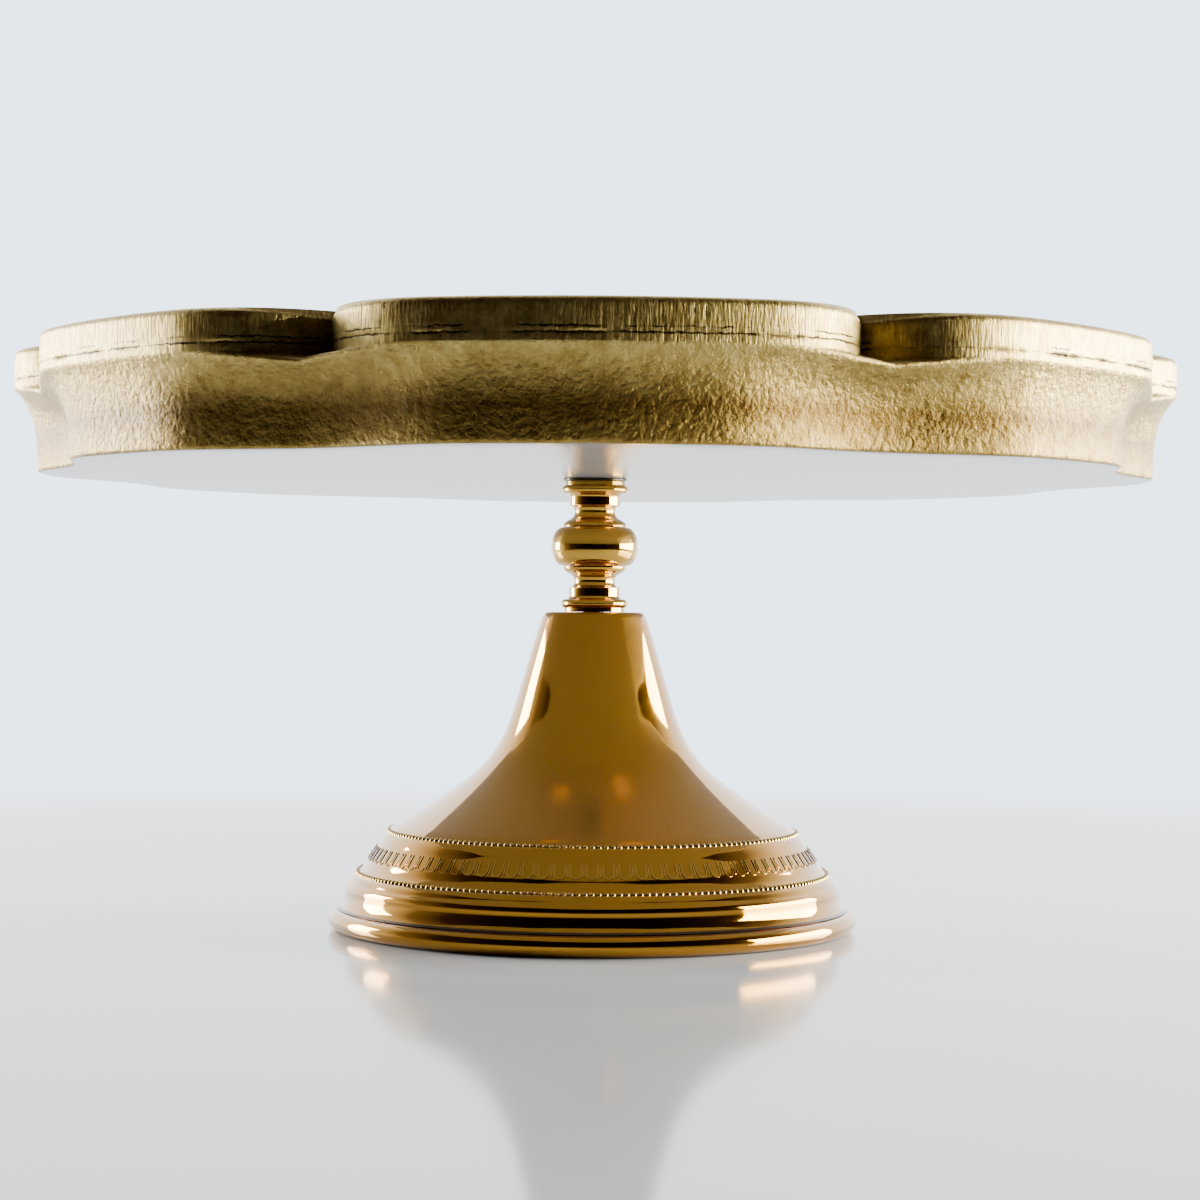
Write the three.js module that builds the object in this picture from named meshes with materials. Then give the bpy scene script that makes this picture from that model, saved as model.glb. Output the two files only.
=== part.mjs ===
// A scalloped cake stand: a two-board wooden plate with a coved edge, on a turned brass
// stem and a spun brass foot. One threaded tie rod pulls the whole stack together, and
// the plate unscrews from it.
//
// Millimetres, +Z up. The origin is on the table, on the stand's axis. The front is -Y.

import * as THREE from 'three';

// ---- Driving sizes -------------------------------------------------------------------

// Plate.
const PLATE_DIAMETER = 406;       // across two opposite lobes
const TOP_BOARD_THICKNESS = 10.3;
const COVE_BOARD_THICKNESS = 31.0;
const BAND_BELOW_SEAM = 2.7;      // upright part of the edge that belongs to the cove board
const TOP_EDGE_ROUND = 2.4;
const COVE_INSET = 6.5;           // how far the cove steps in below the upright band
const BOTTOM_CHAMFER = 1.3;

// Scallops: eight lobes with a sharp notch between neighbours.
const FRONT_LOBE_SPAN = 53;       // degrees, the front and back lobes
const SIDE_LOBE_SPAN = 37;        // degrees, the left and right lobes
const NOTCH_DEPTH = 27;
const NOTCH_HALF_ANGLE = 12;      // degrees
const NOTCH_SHARPNESS = 1.8;      // 1 gives a straight-sided notch, more gives convex shoulders
const VALLEY_DEPTH = 11.7;        // soft dip in the underside's outline below a notch
const VALLEY_HALF_ANGLE = 14;     // degrees
const NOTCH_EDGE_DROP = 1.0;      // extra rounding of the top edge in a notch
const NOTCH_FOOT_DROP = 2.3;      // how far a notch runs down into the cove

// Stem.
const ROD_DIAMETER = 8;
const NECK_FLANGE_DIAMETER = 23.9; // over the bead
const NECK_COLLAR_DIAMETER = 18;
const NECK_WAIST_DIAMETER = 14.5;
const CUP_DIAMETER = 22.5;
const NECK_DISC_INSET = 1.2;      // the disc under the bead, in from the flange
const NECK_DISC_TAPER = 0.1;
const NECK_DISC_HEIGHT = 1.4;
const NECK_BEAD_RADIUS = 1.55;
const COLLAR_FLARE = 1.3;         // how far the collar's foot spreads
const COLLAR_FLARE_HEIGHT = 1.1;
const COLLAR_HEIGHT = 3;
const WAIST_SHOULDER = 0.5;       // step from the collar's top in to the waist
const WAIST_SHOULDER_HEIGHT = 0.9;
const COLLAR_TO_WAIST = 2.5;
const CUP_DEPTH = 5;
const CUP_LIP = 0.7;              // upright edge of the cup
const CUP_BOW = 0.52;             // how full the cup's curve is
const CUP_LIP_INSET = 0.6;
const KNOB_HEIGHT = 13.8;
const KNOB_DIAMETER = 30.9;
const PLATE_WASHER_THICKNESS = 0.8;
const PLATE_WASHER_INSET = 0.7;   // in from the neck's flange

// Foot.
const FOOT_HEIGHT = 111.3;
const FOOT_DIAMETER = 186.8;
const SHOULDER_DIAMETER = 35.4;   // flat top of the bell
const SHOULDER_ROUND = 1.1;
const SHOULDER_RUN = 0.9;         // how far the shoulder's round reaches out
const BELL_UPPER_PULL = { reach: 0.302, fall: 0.653 }; // shares of the bell's own reach and fall
const BELL_LOWER_PULL = { reach: 0.139, fall: 0.631 };
const SHEET = 1.2;                // spun brass wall
const ROLL_RADIUS = 3.5;          // rolled rim
const ROLL_FLAT = 1.2;            // half the width of the worn flat under the roll
const ROLL_START = 95;            // degrees, where the wall meets the roll
const ROLL_END = -190;            // degrees, where the sheet's edge stops inside
const CREASE_INSET = 3.4;         // the black crease above the roll, in from the rim
const CREASE_RISE = 0.3;

// The stepped border above the crease, from the rim inwards.
const CONCAVE_BAND = { run: 2.5, rise: 5.5 };
const RIBS = { run: 1.6, rise: 3.8 };
const LOWER_BEAD_SEAT = { run: 3.3, rise: 3.1 };
const PLAIN_COVE = { run: 3.2, rise: 4.3 };
const TONGUE_BAND = { run: 3.8, rise: 5.4 };
const PLAIN_BAND = { run: 3.6, rise: 5.0 };
const BORDER = [CONCAVE_BAND, RIBS, LOWER_BEAD_SEAT, PLAIN_COVE, TONGUE_BAND, PLAIN_BAND];

// Fasteners.
const TEE_FLANGE_WIDTH = 6.8;     // beyond the barrel
const TEE_FLANGE_THICKNESS = 1.6;
const TEE_BARREL_WALL = 0.9;
const TEE_BARREL_LENGTH = 12;
const THREAD_ENGAGEMENT = 7.5;    // how far the rod reaches into the tee nut
const STIFFENER_THICKNESS = 2.5;
const LOCK_WASHER_WIDTH = 3.2;    // from its hole to its edge
const LOCK_WASHER_THICKNESS = 1.6;
const NUT_WALL = 2.2;             // from its hole to a flat
const NUT_HEIGHT = 6.5;
const ROD_PROUD_OF_NUT = 5;
const ROD_CHAMFER = 0.8;

// Clearances.
const SEAT = 0.1;                 // between faces that rest on each other
const ROD_CLEARANCE = 0.3;        // radial, around the rod
const BARREL_CLEARANCE = 0.3;     // radial, around the tee nut's barrel and flange
const STIFFENER_CLEARANCE = 1.5;  // radial, inside the bell's shoulder

// Smoothness.
const COLUMNS_PER_LOBE = 16;
const FOOT_STEPS = 52;
const STEM_STEPS = 28;
const HOLE_STEPS = 20;

// ---- Heights, from the table up ------------------------------------------------------

const beadTop = NECK_DISC_HEIGHT + 2 * NECK_BEAD_RADIUS;
const collarFoot = beadTop + COLLAR_FLARE_HEIGHT;
const collarTop = collarFoot + COLLAR_HEIGHT;
const waistHeight = collarTop + COLLAR_TO_WAIST;
const neckHeight = waistHeight + CUP_DEPTH;

const lowerNeckZ = FOOT_HEIGHT + SEAT;
const knobZ = lowerNeckZ + neckHeight + SEAT;
const upperNeckZ = knobZ + KNOB_HEIGHT + SEAT;
const plateWasherZ = upperNeckZ + neckHeight + SEAT;
const undersideZ = plateWasherZ + PLATE_WASHER_THICKNESS + SEAT;
const seamZ = undersideZ + COVE_BOARD_THICKNESS;
const topBoardZ = seamZ + SEAT;
const cakeSurfaceZ = topBoardZ + TOP_BOARD_THICKNESS;
const bandFootZ = seamZ - BAND_BELOW_SEAM;

const teeFlangeZ = seamZ - TEE_FLANGE_THICKNESS - SEAT;
const teeBarrelEnd = teeFlangeZ - TEE_BARREL_LENGTH;

const plateRadius = PLATE_DIAMETER / 2;
const rodRadius = ROD_DIAMETER / 2;
const boreRadius = rodRadius + ROD_CLEARANCE;
const flangeRadius = NECK_FLANGE_DIAMETER / 2;
const teeBarrelRadius = boreRadius + TEE_BARREL_WALL;
const teeFlangeRadius = teeBarrelRadius + TEE_FLANGE_WIDTH;

// ---- Small helpers -------------------------------------------------------------------

const point = (radius, height) => new THREE.Vector2(radius, height);

// Spins a profile of (radius, height) points about +Z.
function spin(profile, steps) {
  const geometry = new THREE.LatheGeometry(profile, steps);
  geometry.rotateX(Math.PI / 2);
  return geometry;
}

// Closes a profile that does not touch the axis, such as a washer's section.
function ring(outline, steps) {
  return spin([...outline, outline[0].clone()], steps);
}

// Points of a circular arc from one angle to another, in degrees.
function arc(centre, radius, from, to, steps) {
  const points = [];
  for (let i = 0; i <= steps; i++) {
    const angle = THREE.MathUtils.degToRad(from + ((to - from) * i) / steps);
    points.push(point(centre.x + radius * Math.cos(angle), centre.y + radius * Math.sin(angle)));
  }
  return points;
}

function washer(innerRadius, outerRadius, bottom, thickness) {
  const top = bottom + thickness;
  const section = [
    point(innerRadius, bottom),
    point(outerRadius, bottom),
    point(outerRadius, top),
    point(innerRadius, top),
  ];
  return ring(section, HOLE_STEPS);
}

const brass = (color, roughness) => new THREE.MeshStandardMaterial({ color, roughness, metalness: 1 });
const steel = () => new THREE.MeshStandardMaterial({ color: 0x9a9a98, roughness: 0.4, metalness: 1 });
const goldPaint = (color) => new THREE.MeshStandardMaterial({ color, roughness: 0.5, metalness: 0.8 });

const stand = new THREE.Group();

function add(parent, name, geometry, material) {
  const mesh = new THREE.Mesh(geometry, material);
  mesh.name = name;
  parent.add(mesh);
  return mesh;
}

// ---- Scalloped outline ---------------------------------------------------------------

// Each lobe as its first angle and its span, in degrees, going round from the front.
function lobes() {
  const cornerSpan = (180 - FRONT_LOBE_SPAN - SIDE_LOBE_SPAN) / 2;
  const spans = [FRONT_LOBE_SPAN, cornerSpan, SIDE_LOBE_SPAN, cornerSpan];
  const result = [];
  let start = -FRONT_LOBE_SPAN / 2;
  for (const span of [...spans, ...spans]) {
    result.push({ start, span });
    start += span;
  }
  return result;
}

const LOBES = lobes();
const columns = LOBES.length * COLUMNS_PER_LOBE;

// The direction of one column of the edge. Columns crowd towards the notches.
function columnDirection(column) {
  const wrapped = column % columns;
  const lobe = LOBES[Math.floor(wrapped / COLUMNS_PER_LOBE)];
  const along = (wrapped % COLUMNS_PER_LOBE) / COLUMNS_PER_LOBE;
  const crowded = along - Math.sin(2 * Math.PI * along) / (4 * Math.PI);
  const angle = crowded * lobe.span;
  return { angle: lobe.start + angle, toNotch: Math.min(angle, lobe.span - angle) };
}

// 1 at the bottom of a notch, falling to 0 at its shoulders, which are convex.
function notchShape(toNotch) {
  const away = Math.min(toNotch / NOTCH_HALF_ANGLE, 1);
  return Math.pow(1 - away, NOTCH_SHARPNESS);
}

// 1 in the middle of the soft valley below a notch, 0 at its sides.
function valleyShape(toNotch) {
  const away = Math.min(toNotch / VALLEY_HALF_ANGLE, 1);
  return Math.pow(1 - away * away, 2);
}

// One row of a board's edge. notch and valley say how much of each the row follows, and
// drop is how far the row sinks in the middle of a notch.
function edgeRow(radius, height, notch = 1, valley = 0, drop = 0) {
  return { radius, height, notch, valley, drop };
}

const roundRow = (radius, height) => edgeRow(radius, height, 0);

// Spins rows about +Z, and pulls each one in to the scalloped outline.
function spinScalloped(rows) {
  const geometry = new THREE.LatheGeometry(rows.map((row) => point(row.radius, row.height)), columns);
  const position = geometry.attributes.position;
  for (let i = 0; i < position.count; i++) {
    const row = rows[i % rows.length];
    const { angle, toNotch } = columnDirection(Math.floor(i / rows.length));
    const notch = NOTCH_DEPTH * row.notch * notchShape(toNotch);
    const valley = VALLEY_DEPTH * row.valley * valleyShape(toNotch);
    const radius = row.radius - notch - valley;
    const height = row.height - row.drop * notchShape(toNotch);
    const turn = THREE.MathUtils.degToRad(angle);
    position.setXYZ(i, radius * Math.sin(turn), height, radius * Math.cos(turn));
  }
  geometry.rotateX(Math.PI / 2);
  return geometry;
}

// ---- Plate ---------------------------------------------------------------------------

// Flat board with a sawn, upright edge and a rounded top edge.
function topBoard() {
  const rounded = cakeSurfaceZ - TOP_EDGE_ROUND;
  const halfway = TOP_EDGE_ROUND * (1 - Math.SQRT1_2);
  return spinScalloped([
    roundRow(0, topBoardZ),
    edgeRow(plateRadius, topBoardZ),
    edgeRow(plateRadius, rounded, 1, 0, NOTCH_EDGE_DROP),
    edgeRow(plateRadius - halfway, cakeSurfaceZ - halfway, 1, 0, NOTCH_EDGE_DROP),
    edgeRow(plateRadius - TOP_EDGE_ROUND, cakeSurfaceZ),
    roundRow(0, cakeSurfaceZ),
  ]);
}

// The cove's rows, from the underside up. depth is 0 at the upright band, 1 at the underside.
function coveRows() {
  const coveHeight = bandFootZ - undersideZ - BOTTOM_CHAMFER;
  const depths = [1, 0.75, 0.5, 0.3, 0.15, 0.06];
  return depths.map((depth) => {
    const settled = 1 - Math.pow(1 - depth, 3);
    return edgeRow(
      plateRadius - COVE_INSET * settled,
      bandFootZ - coveHeight * depth,
      1 - settled,
      settled,
      NOTCH_FOOT_DROP * (1 - depth),
    );
  });
}

// Lower board: hollow moulded edge, a bore for the rod and a recess for the tee nut.
function coveBoard() {
  const recess = teeFlangeRadius + BARREL_CLEARANCE;
  const recessZ = seamZ - TEE_FLANGE_THICKNESS - 2 * SEAT;
  const barrelBore = teeBarrelRadius + BARREL_CLEARANCE;
  return spinScalloped([
    roundRow(barrelBore, undersideZ),
    edgeRow(plateRadius - COVE_INSET - BOTTOM_CHAMFER, undersideZ, 0, 1),
    ...coveRows(),
    edgeRow(plateRadius, bandFootZ, 1, 0, NOTCH_FOOT_DROP),
    edgeRow(plateRadius, seamZ),
    roundRow(recess, seamZ),
    roundRow(recess, recessZ),
    roundRow(barrelBore, recessZ),
    roundRow(barrelBore, undersideZ),
  ]);
}

// Threaded insert, its flange trapped under the top board.
function teeNut() {
  const section = [
    point(boreRadius, teeBarrelEnd),
    point(teeBarrelRadius, teeBarrelEnd),
    point(teeBarrelRadius, teeFlangeZ),
    point(teeFlangeRadius, teeFlangeZ),
    point(teeFlangeRadius, teeFlangeZ + TEE_FLANGE_THICKNESS),
    point(boreRadius, teeFlangeZ + TEE_FLANGE_THICKNESS),
  ];
  return ring(section, HOLE_STEPS);
}

// ---- Stem ----------------------------------------------------------------------------

// One turned neck, standing on its flange at height 0, with the cup at its other end.
function neckGeometry() {
  const collar = NECK_COLLAR_DIAMETER / 2;
  const waist = NECK_WAIST_DIAMETER / 2;
  const cup = CUP_DIAMETER / 2;
  const disc = flangeRadius - NECK_DISC_INSET;
  const beadCentre = point(flangeRadius - NECK_BEAD_RADIUS, NECK_DISC_HEIGHT + NECK_BEAD_RADIUS);
  const bow = CUP_DEPTH * CUP_BOW;
  const waistToCup = new THREE.CubicBezierCurve(
    point(waist, waistHeight),
    point(waist, waistHeight + bow),
    point(cup - CUP_LIP_INSET, neckHeight - bow),
    point(cup, neckHeight - CUP_LIP),
  );
  const section = [
    point(boreRadius, 0),
    point(disc, 0),
    point(disc + NECK_DISC_TAPER, NECK_DISC_HEIGHT),
    ...arc(beadCentre, NECK_BEAD_RADIUS, -60, 90, 3),
    point(collar + COLLAR_FLARE, beadTop),
    point(collar, collarFoot),
    point(collar, collarTop),
    point(waist + WAIST_SHOULDER, collarTop + WAIST_SHOULDER_HEIGHT),
    ...waistToCup.getPoints(4),
    point(cup, neckHeight),
    point(boreRadius, neckHeight),
  ];
  return ring(section, STEM_STEPS);
}

// Flattened ball between the two cups.
function knobGeometry() {
  const end = CUP_DIAMETER / 2;
  const swell = KNOB_DIAMETER / 2 - end;
  const section = [point(boreRadius, 0)];
  const steps = 8;
  for (let i = 0; i <= steps; i++) {
    const angle = (Math.PI * i) / steps;
    const height = (KNOB_HEIGHT * (1 - Math.cos(angle))) / 2;
    section.push(point(end + swell * Math.sin(angle), height));
  }
  section.push(point(boreRadius, KNOB_HEIGHT));
  return ring(section, STEM_STEPS);
}

// ---- Foot ----------------------------------------------------------------------------

const footRadius = FOOT_DIAMETER / 2;

// The border's corners, from the crease above the roll in to the bell's lower end.
function borderCorners() {
  const corners = [point(footRadius - CREASE_INSET, 2 * ROLL_RADIUS + CREASE_RISE)];
  for (const { run, rise } of BORDER) {
    const last = corners[corners.length - 1];
    corners.push(point(last.x - run, last.y + rise));
  }
  return corners;
}

// The flowing bell, from its shoulder down to the border.
function bellCurve(base) {
  const start = point(SHOULDER_DIAMETER / 2 + SHOULDER_RUN, FOOT_HEIGHT - SHOULDER_ROUND);
  const reach = base.x - start.x;
  const fall = start.y - base.y;
  const pulled = (pull) => point(start.x + pull.reach * reach, start.y - pull.fall * fall);
  return new THREE.CubicBezierCurve(start, pulled(BELL_UPPER_PULL), pulled(BELL_LOWER_PULL), base);
}

// The roll's outline, from the crease above it round the outside to the flat it stands on.
function rollOutline() {
  const centre = point(footRadius - ROLL_RADIUS, ROLL_RADIUS);
  const flatAngle = THREE.MathUtils.radToDeg(Math.asin(ROLL_FLAT / ROLL_RADIUS));
  const outside = arc(centre, ROLL_RADIUS, ROLL_START, flatAngle - 90, 6);
  const inside = arc(centre, ROLL_RADIUS, -90 - flatAngle, ROLL_END, 3);
  for (const end of [outside[outside.length - 1], inside[0]]) {
    end.y = 0;
  }
  return [...outside, ...inside];
}

// The same line, moved in by the thickness of the sheet.
function insideOf(line) {
  return line.map((here, i) => {
    const before = line[Math.max(i - 1, 0)];
    const after = line[Math.min(i + 1, line.length - 1)];
    const along = after.clone().sub(before).normalize();
    return point(here.x + along.y * SHEET, here.y - along.x * SHEET);
  });
}

// Spun shell: a thin wall that follows the bell and the border, and ends in the roll.
function footShell() {
  const border = borderCorners();
  const base = border.pop();
  const bell = bellCurve(base).getPoints(9);
  const wall = [...bell, ...border.slice().reverse()];
  const inner = insideOf(wall);
  const underTop = FOOT_HEIGHT - SHEET;
  const section = [
    ...rollOutline().reverse(),
    ...border,
    ...bell.slice().reverse(),
    point(SHOULDER_DIAMETER / 2, FOOT_HEIGHT),
    point(boreRadius, FOOT_HEIGHT),
    point(boreRadius, underTop),
    point(SHOULDER_DIAMETER / 2 - SHEET, underTop),
    ...inner.slice(1),
  ];
  return ring(section, FOOT_STEPS);
}

// ---- Rod and fasteners ---------------------------------------------------------------

const stiffenerTop = FOOT_HEIGHT - SHEET - SEAT;
const stiffenerZ = stiffenerTop - STIFFENER_THICKNESS;
const lockWasherZ = stiffenerZ - SEAT - LOCK_WASHER_THICKNESS;
const nutZ = lockWasherZ - SEAT - NUT_HEIGHT;
const rodBottom = nutZ - ROD_PROUD_OF_NUT;
const rodTop = teeBarrelEnd + THREAD_ENGAGEMENT;

function tieRod() {
  const profile = [
    point(0, rodBottom),
    point(rodRadius - ROD_CHAMFER, rodBottom),
    point(rodRadius, rodBottom + ROD_CHAMFER),
    point(rodRadius, rodTop - ROD_CHAMFER),
    point(rodRadius - ROD_CHAMFER, rodTop),
    point(0, rodTop),
  ];
  return spin(profile, HOLE_STEPS);
}

function hexNut() {
  const corner = (2 * (boreRadius + NUT_WALL)) / Math.sqrt(3);
  const outline = [];
  for (let i = 0; i < 6; i++) {
    const angle = (Math.PI * i) / 3;
    outline.push(point(corner * Math.cos(angle), corner * Math.sin(angle)));
  }
  const shape = new THREE.Shape(outline);
  const hole = new THREE.Path();
  hole.absarc(0, 0, boreRadius, 0, 2 * Math.PI, true);
  shape.holes.push(hole);
  const options = { depth: NUT_HEIGHT, bevelEnabled: false, curveSegments: HOLE_STEPS };
  return new THREE.ExtrudeGeometry(shape, options);
}

// ---- Assembly ------------------------------------------------------------------------

const plate = new THREE.Group();
add(plate, 'top_board', topBoard(), goldPaint(0xb9a878));
add(plate, 'cove_board', coveBoard(), goldPaint(0xa8905a));
add(plate, 'tee_nut', teeNut(), steel());
const plateWasherRadius = flangeRadius - PLATE_WASHER_INSET;
const plateWasher = washer(boreRadius, plateWasherRadius, plateWasherZ, PLATE_WASHER_THICKNESS);
add(plate, 'plate_washer', plateWasher, brass(0x3a3020, 0.5));

const stem = new THREE.Group();
add(stem, 'lower_neck', neckGeometry(), brass(0xc8a040, 0.12)).position.z = lowerNeckZ;
add(stem, 'knob', knobGeometry(), brass(0xc8a040, 0.1)).position.z = knobZ;
const upperNeck = add(stem, 'upper_neck', neckGeometry(), brass(0xc8a040, 0.12));
upperNeck.rotation.x = Math.PI;
upperNeck.position.z = upperNeckZ + neckHeight;

const foot = new THREE.Group();
add(foot, 'foot_shell', footShell(), brass(0xb88a28, 0.12));
const stiffenerRadius = SHOULDER_DIAMETER / 2 - SHEET - STIFFENER_CLEARANCE;
const stiffener = washer(boreRadius, stiffenerRadius, stiffenerZ, STIFFENER_THICKNESS);
add(foot, 'foot_stiffener', stiffener, steel());
const lockWasherRadius = boreRadius + LOCK_WASHER_WIDTH;
const lockWasher = washer(boreRadius, lockWasherRadius, lockWasherZ, LOCK_WASHER_THICKNESS);
add(foot, 'lock_washer', lockWasher, steel());
add(foot, 'foot_nut', hexNut(), steel()).position.z = nutZ;
add(foot, 'tie_rod', tieRod(), steel());

stand.add(plate, stem, foot);

export default stand;
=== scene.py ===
# %% [markdown]
# # A footed cake stand
# The real stand is a scalloped wooden plate on a short brass stem. The plate is two boards
# glued face to face and painted gold, the stem is three turned brass pieces, and the foot is
# spun from brass sheet. One threaded rod pulls them together.
# The working model is loaded first as a fixed frame. Every place below is read from it, so
# nothing has to be fitted afterwards.

# %% Load the frame
import math

import bpy
from mathutils import Matrix, Vector, noise


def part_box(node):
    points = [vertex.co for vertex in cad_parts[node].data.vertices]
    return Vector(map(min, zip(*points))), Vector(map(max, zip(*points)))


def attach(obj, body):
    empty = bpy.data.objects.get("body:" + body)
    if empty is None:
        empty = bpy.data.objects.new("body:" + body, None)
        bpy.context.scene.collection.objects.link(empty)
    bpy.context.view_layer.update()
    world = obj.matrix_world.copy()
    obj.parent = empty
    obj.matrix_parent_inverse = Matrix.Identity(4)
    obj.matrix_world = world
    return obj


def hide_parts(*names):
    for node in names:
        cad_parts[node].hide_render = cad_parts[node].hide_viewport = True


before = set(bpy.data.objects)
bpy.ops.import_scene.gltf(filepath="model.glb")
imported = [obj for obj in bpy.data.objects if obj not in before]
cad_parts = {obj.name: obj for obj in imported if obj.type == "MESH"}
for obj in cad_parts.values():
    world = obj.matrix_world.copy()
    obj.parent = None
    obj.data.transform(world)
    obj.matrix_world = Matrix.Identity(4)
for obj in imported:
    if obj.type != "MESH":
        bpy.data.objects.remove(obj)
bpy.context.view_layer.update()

MM = 0.001

# %% [markdown]
# ## Camera
# The stand is seen from just below the plate's level, so the underside shows as a thin
# sliver and the foot's circles are nearly flat. A long lens keeps the plate's front and back
# close to the same size. The small turns are those of a camera held by hand.

# %% Camera
VIEW_DISTANCE = 0.9585
VIEW_HEIGHT = 0.1096
VIEW_LENS = 81
VIEW_PITCH = math.radians(0.36)
VIEW_TURN = math.radians(-0.12)
VIEW_ROLL = math.radians(0.43)

camera_data = bpy.data.cameras.new("view")
camera_data.lens = VIEW_LENS
camera = bpy.data.objects.new("view", camera_data)
camera.matrix_world = (
    Matrix.Translation((0, -VIEW_DISTANCE, VIEW_HEIGHT))
    @ Matrix.Rotation(VIEW_TURN, 4, "Z")
    @ Matrix.Rotation(math.radians(90) + VIEW_PITCH, 4, "X")
    @ Matrix.Rotation(VIEW_ROLL, 4, "Z")
)
bpy.context.scene.collection.objects.link(camera)
bpy.context.scene.camera = camera
print("camera:", VIEW_LENS, "mm lens,", VIEW_DISTANCE, "m away")

# %% [markdown]
# ## Turning a piece
# Most of this stand is made on a lathe, so one helper does what a lathe does. It starts from
# a small plane merged to a point, extrudes that point along the section, and turns the
# section about the upright axis. The spin operator would do the same, but it slows down
# badly past a few hundred steps, and a screw modifier with no rise does not. Where the turn
# meets itself, and where the section touches the axis, doubles are merged so that the piece
# is closed. Then its normals are made to face out.

# %% Helpers for turned pieces
MERGE_DISTANCE = 2e-6


def nothing_selected():
    """Leave edit mode and select nothing, so that an operator touches only what comes next."""
    if bpy.context.object and bpy.context.object.mode != "OBJECT":
        bpy.ops.object.mode_set(mode="OBJECT")
    bpy.ops.object.select_all(action="DESELECT")


def start_at(name, place):
    """A new object in edit mode that holds one selected vertex at a place."""
    nothing_selected()
    bpy.ops.mesh.primitive_plane_add(size=MM, location=(0, 0, 0))
    piece = bpy.context.object
    piece.name = name
    piece.data.name = name
    bpy.ops.object.mode_set(mode="EDIT")
    bpy.ops.mesh.select_mode(type="VERT")
    bpy.ops.mesh.select_all(action="SELECT")
    bpy.ops.mesh.merge(type="CENTER")
    bpy.ops.transform.translate(value=place)
    return piece


def finish_shell(piece, smooth_angle=40):
    """Merge doubles, face the normals outward and shade smooth up to an angle in degrees."""
    bpy.ops.mesh.select_all(action="SELECT")
    bpy.ops.mesh.remove_doubles(threshold=MERGE_DISTANCE)
    bpy.ops.mesh.normals_make_consistent(inside=False)
    bpy.ops.object.mode_set(mode="OBJECT")
    bpy.ops.object.shade_smooth_by_angle(angle=math.radians(smooth_angle))
    return piece


def turned(name, section, steps, smooth_angle=40):
    """Spin a section of (radius, height) points about +Z, all in metres."""
    first_radius, first_height = section[0]
    piece = start_at(name, (first_radius, 0, first_height))
    for before, after in zip(section, section[1:]):
        move = (after[0] - before[0], 0, after[1] - before[1])
        bpy.ops.mesh.extrude_region_move(TRANSFORM_OT_translate={"value": move})
    bpy.ops.object.mode_set(mode="OBJECT")
    bpy.ops.object.modifier_add(type="SCREW")
    lathe = piece.modifiers[0]
    lathe.steps = steps
    lathe.render_steps = steps
    lathe.use_merge_vertices = True
    lathe.merge_threshold = MERGE_DISTANCE
    bpy.ops.object.modifier_apply(modifier=lathe.name)
    bpy.ops.object.mode_set(mode="EDIT")
    return finish_shell(piece, smooth_angle)


def arc(centre_radius, centre_height, size, start, end, steps):
    """Points of an arc in the section, from one angle to another in degrees."""
    points = []
    for i in range(steps + 1):
        angle = math.radians(start + (end - start) * i / steps)
        points.append((centre_radius + size * math.cos(angle), centre_height + size * math.sin(angle)))
    return points


def curve(points, steps):
    """Points of a cubic curve through two ends, bent by the two points between them."""
    a, b, c, d = (Vector(point) for point in points)
    made = []
    for i in range(steps + 1):
        t = i / steps
        s = 1 - t
        made.append(tuple(a * s**3 + b * 3 * s * s * t + c * 3 * s * t * t + d * t**3))
    return made


def open_edges(piece):
    """How many edges don't have exactly two faces. A closed piece has none."""
    faces_at = {}
    for face in piece.data.polygons:
        for edge in face.edge_keys:
            faces_at[edge] = faces_at.get(edge, 0) + 1
    return sum(1 for count in faces_at.values() if count != 2)


def report(piece):
    """Print a finished piece's size and faces. Stop if it is empty or not closed."""
    if not piece.data.polygons or open_edges(piece):
        raise ValueError(f"{piece.name} is empty or has {open_edges(piece)} open edges")
    corners = [Vector(corner) for corner in piece.bound_box]
    low = Vector(map(min, *corners))
    high = Vector(map(max, *corners))
    size = [round(v / MM, 1) for v in high - low]
    print(f"{piece.name}: {size} mm, {len(piece.data.polygons)} faces")
    return piece


def settle(piece, body, slot, *nodes):
    """Ride on a body and stand for the CAD nodes. The slot is not used."""
    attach(piece, body)
    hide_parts(*nodes)
    return report(piece)


# %% [markdown]
# ## The scalloped outline
# Both boards were cut to one outline: eight lobes with a sharp notch between neighbours. The
# front and back lobes are the widest and the side lobes the narrowest. A notch is a V whose
# sides are convex, because a sander rounded the lobes' shoulders. It ends just under the
# upright band, and below it the cove has only a soft valley.
# The boards are turned as plain discs with many columns, and each vertex is then pulled
# inward by the outline. Cutting the notches with booleans would leave long thin faces there.

# %% The outline
PLATE_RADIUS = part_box("top_board")[1].x
CAKE_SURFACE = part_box("top_board")[1].z
TOP_BOARD_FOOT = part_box("top_board")[0].z
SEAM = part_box("cove_board")[1].z
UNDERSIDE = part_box("cove_board")[0].z

BOARD_STEPS = 1600
NOTCH_PLACES = (26.5, 71.5)  # degrees from the front or the back, on both sides
NOTCH_DEPTH = 27 * MM
NOTCH_HALF_ANGLE = 14
NOTCH_SHARPNESS = 2.7
NOTCH_CUTOFF = 10  # how soon below the band the notch gives way to the valley
VALLEY_DEPTH = 11.7 * MM
VALLEY_HALF_ANGLE = 18
VALLEY_ONSET = 1.7  # how soon below the band the valley reaches its depth
ROUND_SHARE = 0.76  # inside this share of the radius a board's faces stay round
BAND_BELOW_SEAM = 2.7 * MM
TOP_EDGE_ROUND = 2.4 * MM
COVE_INSET = 6.5 * MM
BOTTOM_CHAMFER = 1.3 * MM
NOTCH_EDGE_DROP = 2.0 * MM
NOTCH_FOOT_DROP = 1.4 * MM
BAND_FOOT = SEAM - BAND_BELOW_SEAM
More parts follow.
